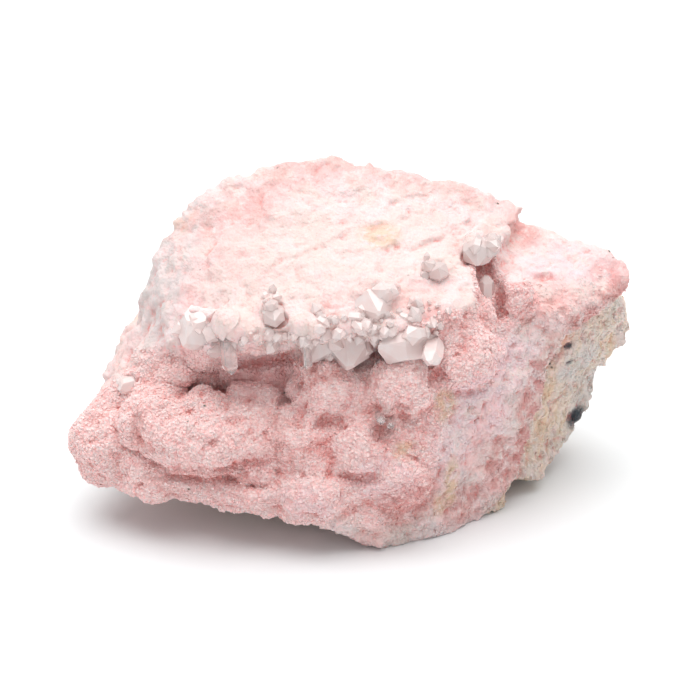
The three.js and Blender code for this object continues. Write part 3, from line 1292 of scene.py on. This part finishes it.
def corners_inside(directions: Array, distances: Array) -> Array:
    """Every point where three planes meet that lies inside all the others.

    Args:
        directions: the planes' outward unit directions, shape (n, 3).
        distances: how far each plane lies from the origin.

    Returns:
        The corners of the solid between the planes, shape (m, 3).
    """
    count = len(distances)
    i, j, k = (index.ravel() for index in np.meshgrid(*[np.arange(count)] * 3, indexing="ij"))
    keep = (i < j) & (j < k)
    triples = np.stack([i[keep], j[keep], k[keep]], axis=1)
    matrices = directions[triples]
    solvable = np.abs(np.linalg.det(matrices)) > 1e-3
    meets = np.linalg.solve(matrices[solvable], distances[triples[solvable]][:, :, None])[:, :, 0]
    return meets[(meets @ directions.T <= distances + 1e-6).all(axis=1)]


@dataclass
class QuartzGroup:
    """Crystals that grew together, in place of one packed quartz solid."""

    node: str
    crystals: tuple[Crystal, ...]
    finish: QuartzFinish
    plug: float = 1.9
    socket_room: float = 0.45
    chips: int = 5
    companions: int = 0
    companion_sizes: tuple[float, float] = (0.35, 0.55)
    wear: float = 0.16

    def stand(self, crystal: Crystal) -> tuple[Array, Array, float]:
        """Where a crystal stands.

        Args:
            crystal: one of the group's crystals.

        Returns:
            Its root, the turn that carries z to its axis, and its length.
        """
        low, high = (np.array(corner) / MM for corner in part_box(self.node))
        root = low + np.array(crystal.root) * (high - low)
        along = low + np.array(crystal.tip) * (high - low) - root
        length = float(np.linalg.norm(along))
        return root, upright_turns((along / length)[None, :], np.zeros(1))[0], length

    def add_plugs(self, work: bmesh.types.BMesh) -> None:
        """Adds a plug that fills each crystal's socket, so the rock's skin closes round its root.

        Args:
            work: the rock's mesh, which is added to.
        """
        for crystal in self.crystals:
            root, turn, _ = self.stand(crystal)
            directions, distances = crystal_planes(crystal, 100.0, np.random.default_rng(5))
            distances[:6] += self.socket_room
            distances[-1] += 0.45
            directions = np.concatenate([directions, [[0.0, 0.0, 1.0]]])
            corners = corners_inside(directions, np.append(distances, self.plug))
            made = [work.verts.new(point) for point in (corners @ turn.T + root) * MM]
            bmesh.ops.convex_hull(work, input=made)

    def add_crystal(self, work: bmesh.types.BMesh, corners: Array) -> None:
        """Adds the solid that has these corners, in millimetres."""
        made = [work.verts.new(point) for point in corners * MM]
        bmesh.ops.convex_hull(work, input=made)

    def build(self) -> bpy.types.Object:
        """Builds each crystal from its planes, with smaller ones at its root, and joins them into one piece.

        Returns:
            The group, as one piece.
        """
        rng = np.random.default_rng(sum(map(ord, self.node)))
        work = bmesh.new()
        for crystal in self.crystals:
            root, turn, length = self.stand(crystal)
            directions, distances = crystal_planes(crystal, length, rng)
            corners = corners_inside(directions, distances)
            cut, kept = chipped(corners, self.chips, rng)
            corners = corners_inside(np.concatenate([directions, cut]), np.concatenate([distances, kept]))
            self.add_crystal(work, corners @ turn.T + root)
            for _ in range(self.companions):
                share = rng.uniform(*self.companion_sizes)
                lean = np.array([[*rng.normal(0.0, 0.55, 2), 1.0]])
                around = upright_turns(lean / np.linalg.norm(lean), rng.uniform(0.0, math.tau, 1))[0]
                cut, kept = chipped(corners, 2, rng)
                own = corners_inside(np.concatenate([directions, cut]), np.concatenate([distances, kept]))
                aside = np.array([*rng.uniform(-0.5, 0.5, 2), 0.3]) * (crystal.width, crystal.depth, length)
                self.add_crystal(work, (own * share @ around.T + aside) @ turn.T + root)
        bmesh.ops.remove_doubles(work, verts=work.verts, dist=1e-6)
        bmesh.ops.dissolve_limit(work, angle_limit=math.radians(1.5), verts=work.verts, edges=work.edges)
        bmesh.ops.recalc_face_normals(work, faces=work.faces)
        mesh = bpy.data.meshes.new(self.node)
        work.to_mesh(mesh)
        work.free()
        piece = new_piece(self.node.replace("quartz_", "crystal_"), mesh, self.finish.material())
        edge = piece.modifiers.new("worn_edges", "BEVEL")
        edge.width = self.wear * MM
        edge.segments = 2
        edge.limit_method = "ANGLE"
        edge.angle_limit = math.radians(15)
        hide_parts(self.node)
        return piece


@dataclass
class QuartzCrumbs:
    """Small quartz points crowded along the ledge's lip and round the larger crystals."""

    name: str
    count: int
    seed: int
    finish: QuartzFinish
    thinnest: float = 0.35
    widest: float = 1.3

    def point(self) -> tuple[Array, Array]:
        """A six-sided prism with a pointed end, one across and about two high.

        Returns:
            Its thirteen corners, and its triangles.
        """
        angles = np.arange(6) * math.tau / 6
        ring = np.stack([np.cos(angles), np.sin(angles), np.zeros(6)], axis=1)
        corners = np.concatenate([ring + (0.0, 0.0, -0.6), ring + (0.0, 0.0, 0.9), [[0.0, 0.0, 2.0]]])
        here, after = np.arange(6), (np.arange(6) + 1) % 6
        lower = np.stack([here, after, after + 6], 1)
        upper = np.stack([here, after + 6, here + 6], 1)
        end = np.stack([here + 6, after + 6, np.full(6, 12)], 1)
        root = np.stack([np.zeros(4, int), np.arange(2, 6), np.arange(1, 5)], 1)
        return corners, np.concatenate([lower, upper, end, root])

    def build(self, rock: bpy.types.Object) -> bpy.types.Object:
        """Scatters the points where the lip's patches lie.

        Args:
            rock: the rock's finished skin.

        Returns:
            The crumbs, as one piece.
        """
        seats = Seats(rock)
        cover = greatest_cover(LIP_PATCHES, seats.middles)
        rng = np.random.default_rng(self.seed)
        triple, mix = seats.pick(self.count, cover**2, rng)
        seat = (seats.points[triple] * mix[:, :, None]).sum(axis=1)
        up = (seats.normals[triple] * mix[:, :, None]).sum(axis=1)
        up += rng.normal(0.0, 0.5, (self.count, 3)) + np.array([0.0, -0.35, -0.1])
        up /= np.linalg.norm(up, axis=1, keepdims=True)
        width = self.thinnest + (self.widest - self.thinnest) * rng.random(self.count) ** 1.8
        corners, triangles = self.point()
        size = width[:, None] * rng.uniform(0.75, 1.2, (self.count, 3))
        local = corners[None, :, :] * size[:, None, :]
        turns = upright_turns(up, rng.random(self.count) * math.tau)
        placed = np.einsum("nij,nkj->nki", turns, local) + seat[:, None, :]
        faces = triangles[None, :, :] + len(corners) * np.arange(self.count)[:, None, None]
        crumbs = mesh_of(self.name, placed.reshape(-1, 3), faces.reshape(-1, 3))
        return new_piece(self.name, crumbs, self.finish.material())


# ------------------------------------------------------------------ the studio
@dataclass(frozen=True)
class Studio:
    """A pale floor, broad soft lamps above and in front, white fill, and the camera."""

    elevation: float = 25.0
    distance_m: float = 0.70
    lens: float = 201.0
    aim: Point = (-0.6, 1.1, 26.6)
    overhead: float = 3.3
    overhead_lean: float = -6.0
    front: float = 0.35
    front_lean: float = 65.0
    spread: float = 72.0
    fill: float = 0.42
    paper: Colour = (0.82, 0.85, 0.86)
    paper_pale: Colour = (0.84, 0.87, 0.88)
    floor_reach_m: float = 9.0

    def build_floor(self) -> None:
        """A pale paper floor, wide enough to fill every view."""
        far = self.floor_reach_m
        mesh = bpy.data.meshes.new("floor")
        mesh.from_pydata([(-far, -far, 0), (far, -far, 0), (far, far, 0), (-far, far, 0)], [], [(0, 1, 2, 3)])
        sheet = NodeSheet("floor_paper")
        sheet.shader.inputs["Roughness"].default_value = 0.9
        paper = sheet.blend(sheet.cloud(60.0), self.paper, self.paper_pale)
        sheet.link(paper, sheet.shader.inputs["Base Color"])
        mesh.materials.append(sheet.material)
        floor = bpy.data.objects.new("floor", mesh)
        bpy.context.scene.collection.objects.link(floor)

    def build_light(self) -> None:
        """The two lamps and the white surroundings."""
        world = bpy.data.worlds.new("surroundings")
        world.use_nodes = True
        world.node_tree.nodes["Background"].inputs["Color"].default_value = (1.0, 1.0, 1.0, 1.0)
        world.node_tree.nodes["Background"].inputs["Strength"].default_value = self.fill
        bpy.context.scene.world = world
        self.build_lamp("overhead", self.overhead, self.overhead_lean)
        self.build_lamp("front", self.front, self.front_lean)

    def build_lamp(self, name: str, strength: float, lean: float) -> None:
        """One broad, even lamp.

        Args:
            name: the lamp's name.
            strength: its light on a surface that faces it.
            lean: degrees from straight overhead towards the camera.
        """
        lamp = bpy.data.lights.new(name, "SUN")
        lamp.energy = strength
        lamp.angle = math.radians(self.spread)
        holder = bpy.data.objects.new(name, lamp)
        holder.location = (0.0, 0.0, 0.5)
        holder.rotation_euler = (math.radians(lean), 0.0, 0.0)
        bpy.context.scene.collection.objects.link(holder)

    def build_camera(self) -> None:
        """The camera, straight in front and looking down on the specimen."""
        lens = bpy.data.cameras.new("camera")
        lens.lens = self.lens
        lens.sensor_width = 36.0
        lens.clip_start = 0.01
        camera = bpy.data.objects.new("camera", lens)
        aim = Vector(self.aim) * MM
        rise = math.radians(self.elevation)
        camera.location = aim + Vector((0.0, -math.cos(rise), math.sin(rise))) * self.distance_m
        camera.rotation_euler = (aim - camera.location).to_track_quat("-Z", "Y").to_euler()
        bpy.context.scene.collection.objects.link(camera)
        bpy.context.scene.camera = camera

    def build(self) -> None:
        """Sets up the floor, the light and the camera, with colours shown as they are."""
        self.build_floor()
        self.build_light()
        self.build_camera()
        bpy.context.scene.view_settings.view_transform = "Standard"


# ------------------------------------------------------------------ the specimen
CLEAR = QuartzFinish("quartz_clear", cloudiness=0.22, tone=(1.0, 0.97, 0.96))
HAZY = QuartzFinish("quartz_hazy", cloudiness=0.6, tone=(1.0, 0.84, 0.81), roughness=0.05)
MILKY = QuartzFinish("quartz_milky", cloudiness=0.72, tone=(1.0, 0.81, 0.78), roughness=0.08)

QUARTZ = (
    QuartzGroup(
        "quartz_hanging_point",
        (Crystal((0.37, 0.82, 0.95), (0.68, 0.08, 0.0), 2.7, 2.3, 8),),
        CLEAR,
        chips=1,
        wear=0.07,
    ),
    QuartzGroup(
        "quartz_sliver",
        (Crystal((0.4, 0.9, 1.0), (0.63, 0.06, 0.0), 1.5, 1.3, 20),),
        CLEAR,
        chips=1,
        wear=0.07,
    ),
    QuartzGroup(
        "quartz_centre_cluster",
        (
            Crystal((0.74, 0.9, 0.7), (0.69, 0.0, 0.12), 6.8, 6.0, 12),
            Crystal((0.33, 0.9, 0.6), (0.11, 0.2, 0.23), 6.0, 5.2, 35),
        ),
        MILKY,
        companions=3,
    ),
    QuartzGroup(
        "quartz_lip_knob",
        (Crystal((0.57, 0.95, 0.63), (0.37, 0.0, 0.25), 3.1, 2.7, 10),),
        MILKY,
        companions=2,
    ),
    QuartzGroup(
        "quartz_upper_block",
        (Crystal((0.47, 0.9, 0.47), (0.65, 0.0, 0.66), 8.4, 7.0, 18),),
        MILKY,
        companions=4,
        wear=0.3,
    ),
    QuartzGroup(
        "quartz_right_blade",
        (Crystal((0.9, 0.85, 0.33), (0.0, 0.03, 0.74), 7.0, 5.0, 60),),
        MILKY,
        companions=3,
        wear=0.3,
    ),
    QuartzGroup(
        "quartz_left_block",
        (Crystal((0.62, 0.8, 0.62), (0.18, 0.0, 0.21), 7.4, 5.4, 25),),
        MILKY,
        companions=4,
        wear=0.4,
    ),
    QuartzGroup(
        "quartz_clear_knob",
        (Crystal((0.48, 1.0, 0.44), (0.54, 0.0, 0.64), 3.6, 3.0, 10),),
        HAZY,
        socket_room=1.2,
        chips=3,
        companions=1,
        companion_sizes=(0.5, 0.75),
        wear=0.1,
    ),
    QuartzGroup(
        "quartz_crest_block",
        (Crystal((0.52, 0.8, 0.27), (0.43, 0.0, 1.0), 3.6, 3.0, 20),),
        HAZY,
        socket_room=1.1,
        chips=3,
        companions=2,
        companion_sizes=(0.5, 0.75),
        wear=0.1,
    ),
    QuartzGroup(
        "quartz_cavity_crown",
        (
            Crystal((0.36, 0.8, 0.53), (0.39, 0.0, 0.17), 4.9, 4.1, 0),
            Crystal((0.6, 0.9, 0.45), (0.9, 0.41, 0.97), 2.9, 2.5, 20),
        ),
        HAZY,
        companions=3,
    ),
    QuartzGroup(
        "quartz_cavity_column",
        (Crystal((0.48, 0.44, 0.0), (0.53, 0.6, 1.0), 2.7, 2.5, 15),),
        HAZY,
        companions=1,
    ),
    QuartzGroup(
        "quartz_front_spark",
        (Crystal((0.4, 1.0, 0.3), (0.64, 0.0, 0.76), 1.5, 1.4, 0),),
        CLEAR,
        chips=1,
        wear=0.05,
    ),
    QuartzGroup(
        "quartz_front_spark_small",
        (Crystal((0.34, 1.0, 0.3), (0.71, 0.0, 0.74), 1.2, 1.1, 30),),
        CLEAR,
        chips=1,
        wear=0.05,
    ),
    QuartzGroup(
        "quartz_left_edge_block",
        (Crystal((0.64, 0.9, 0.48), (0.21, 0.0, 0.55), 3.9, 2.9, 40),),
        MILKY,
        companions=2,
    ),
)


CRUMBS = (
    QuartzCrumbs("quartz_crumbs_milky", 100, 41, MILKY),
    QuartzCrumbs("quartz_crumbs_hazy", 60, 43, HAZY, thinnest=0.3, widest=1.0),
)

FLAKES = DruseCoat(
    "broken_flakes",
    15000,
    9,
    smallest=0.1,
    largest=0.26,
    flatten=0.35,
    spread=0.35,
    ground=Ground.BROKEN,
    finish=RockFinish("broken_flakes", grain_depth=0.05, coarse_depth=0.05, roughness=0.5),
)


def main() -> None:
    """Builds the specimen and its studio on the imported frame."""
    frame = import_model()
    Studio().build()
    rock = RockSkin(frame["nodes"][ROCK_NODE], QUARTZ).build()
    for number in range(1, COAT_COUNT + 1):
        DruseCoat(f"druse_coat_{number}", RHOMBS_A_COAT, number).build(rock)
    FLAKES.build(rock)
    for group in QUARTZ:
        group.build()
    for crumbs in CRUMBS:
        crumbs.build(rock)


if __name__ == "__main__":
    main()
